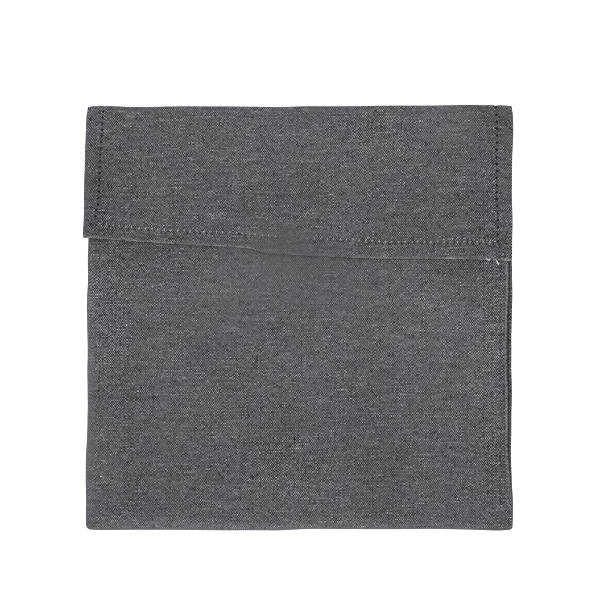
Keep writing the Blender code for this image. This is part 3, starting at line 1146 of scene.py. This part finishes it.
mesh = bmesh.new()
chance = random.Random(5)
lower_row = LAST_ROW - STITCH_LINE
first = math.ceil(lower_run[STITCH_LINE] / LOWER_SEAM.pitch)
last = math.floor(lower_run[COLUMNS - STITCH_LINE] / LOWER_SEAM.pitch)
for count in range(first, last):
    share = count + 0.5 - LOWER_SEAM.phase + chance.uniform(-0.09, 0.09)
    column = between(lower_run, share * LOWER_SEAM.pitch)
    place, down, over, out = cloth_frame(column, lower_row)
    place += chance.uniform(-0.16, 0.16) * MM * down
    along = Matrix.Rotation(LOWER_SLANT + chance.uniform(-0.35, 0.35), 3, out) @ over
    length = LOWER_STITCH * chance.uniform(0.75, 1.1)
    felted = patch_sum(FELTED_CLOTH, *strip_point(column, lower_row)[:2])
    sink = chance.uniform(0.2, 0.58) + 0.8 * max(felted, 0.0)
    sew_stitch(mesh, place, along, out, length, LOWER_THREAD, sink)
pale_and_lit_thread = make_thread("pale_and_lit_sewing_thread", PALE_AND_LIT_THREAD, 0.3)
finish_sewing(mesh, "lower_hem_stitching", pale_and_lit_thread)


# Loose thread ends
# Two cut ends of the white overlocking thread inside the hem have worked out under the flap's right corner:
# one straight, with about 2 mm of it in sight, and one curled up against the folded edge.

END_THREAD = 0.45 * MM
WHITE_THREAD = (0.75, 0.75, 0.77, 1.0)
Bend = namedtuple("Bend", "along across height lift")
STRAIGHT_END = (
    Bend(0.0, 82.6, 116.3, 0.1),
    Bend(1.6, 83.2, 114.8, 0.35),
    Bend(2.9, 83.7, 113.8, 0.25),
    Bend(3.9, 84.2, 112.95, 0.1),
    Bend(4.7, 84.6, 112.2, 0.0),
)
CURLED_END = (
    Bend(0.0, 78.9, 115.9, 0.3),
    Bend(1.2, 79.4, 114.9, 0.75),
    Bend(1.9, 80.0, 114.4, 0.8),
    Bend(2.4, 80.5, 114.4, 0.75),
    Bend(2.9, 80.5, 114.9, 1.0),
)


def lay_thread(mesh, bends, thread):
    """Bent piece of thread that lies on the front panel, tapered at its cut end."""
    steps = 18
    bmesh.ops.create_cone(
        mesh, cap_ends=True, segments=8, radius1=thread / 2, radius2=thread / 2, depth=1.0
    )
    made = [vert for vert in mesh.verts if not vert.tag]
    walls = {edge for vert in made for edge in vert.link_edges}
    walls = [edge for edge in walls if abs(edge.verts[0].co.z - edge.verts[1].co.z) > 0.5]
    bmesh.ops.subdivide_edges(mesh, edges=walls, cuts=steps)
    across, height, lift = (smooth_curve(bends, "along", column) for column in ("across", "height", "lift"))
    length = bends[-1].along * MM

    def middle(run):
        place = across(run), height(run)
        return Vector((*place, front_top(*place) + thread / 2 + lift(run))) + to_frame

    for vert in [vert for vert in mesh.verts if not vert.tag]:
        run = (vert.co.z + 0.5) * length
        along = (middle(run + 0.1 * MM) - middle(run - 0.1 * MM)).normalized()
        beside = along.cross(Vector((0.0, 0.0, 1.0))).normalized()
        taper = 1.0 - 0.45 * ease((run - length + MM) / MM)
        vert.co = middle(run) + taper * (vert.co.x * beside + vert.co.y * beside.cross(along))
        vert.tag = True


mesh = bmesh.new()
lay_thread(mesh, STRAIGHT_END, END_THREAD)
lay_thread(mesh, CURLED_END, END_THREAD)
bmesh.ops.recalc_face_normals(mesh, faces=mesh.faces)
white_thread = make_thread("white_sewing_thread", WHITE_THREAD, 0.2)
finish_sewing(mesh, "loose_thread_ends", white_thread)


# Stage
# Plain near-white floor that glows faintly, under soft studio light that comes mostly from above the crest.
# The camera looks straight down, and the bag lies as far off the picture's middle as in the photograph.

FLOOR_DROP = 0.05 * MM
FLOOR_SIZE = 6.0
CAMERA_HEIGHT = 1.0
PIXEL = 0.424 * MM
PHOTO_SIDE = 612
PHOTO_MIDDLE = (298.05, 317.7)

mesh = bmesh.new()
bmesh.ops.create_grid(mesh, x_segments=1, y_segments=1, size=FLOOR_SIZE / 2)
bmesh.ops.translate(mesh, verts=mesh.verts, vec=(0.0, 0.0, -FLOOR_DROP))
floor_material, floor_shader, _ = new_material("pale_floor", 0.8)
floor_shader.inputs["Base Color"].default_value = (0.93, 0.93, 0.93, 1.0)
floor_shader.inputs["Emission Color"].default_value = (1.0, 1.0, 1.0, 1.0)
floor_shader.inputs["Emission Strength"].default_value = 0.5
floor = new_object(mesh, "floor", floor_material)

world = bpy.data.worlds.new("soft_studio")
world.use_nodes = True
world.node_tree.nodes["Background"].inputs["Color"].default_value = (1.0, 1.0, 1.0, 1.0)
world.node_tree.nodes["Background"].inputs["Strength"].default_value = 1.16
bpy.context.scene.world = world

softbox_data = bpy.data.lights.new("softbox", "AREA")
softbox_data.shape = "SQUARE"
softbox_data.size = 0.8
softbox_data.energy = 4.5
softbox = bpy.data.objects.new("softbox", softbox_data)
softbox.location = (0.1, 0.6, 1.2)
softbox.rotation_euler = (-Vector(softbox.location)).to_track_quat("-Z", "Y").to_euler()
bpy.context.scene.collection.objects.link(softbox)

camera_data = bpy.data.cameras.new("camera")
camera_data.sensor_width = 36.0
camera_data.lens = camera_data.sensor_width * CAMERA_HEIGHT / (PHOTO_SIDE * PIXEL)
camera = bpy.data.objects.new("camera", camera_data)
camera.location = (
    (PHOTO_SIDE / 2 - PHOTO_MIDDLE[0]) * PIXEL,
    (PHOTO_MIDDLE[1] - PHOTO_SIDE / 2) * PIXEL,
    CAMERA_HEIGHT + packed_high.z / 2,
)
bpy.context.scene.collection.objects.link(camera)
bpy.context.scene.camera = camera
bpy.context.scene.view_settings.view_transform = "Standard"

# The denoiser and a wide pixel filter would smooth the fine weave away
bpy.context.scene.cycles.use_denoising = False
bpy.context.scene.cycles.filter_width = 1.25
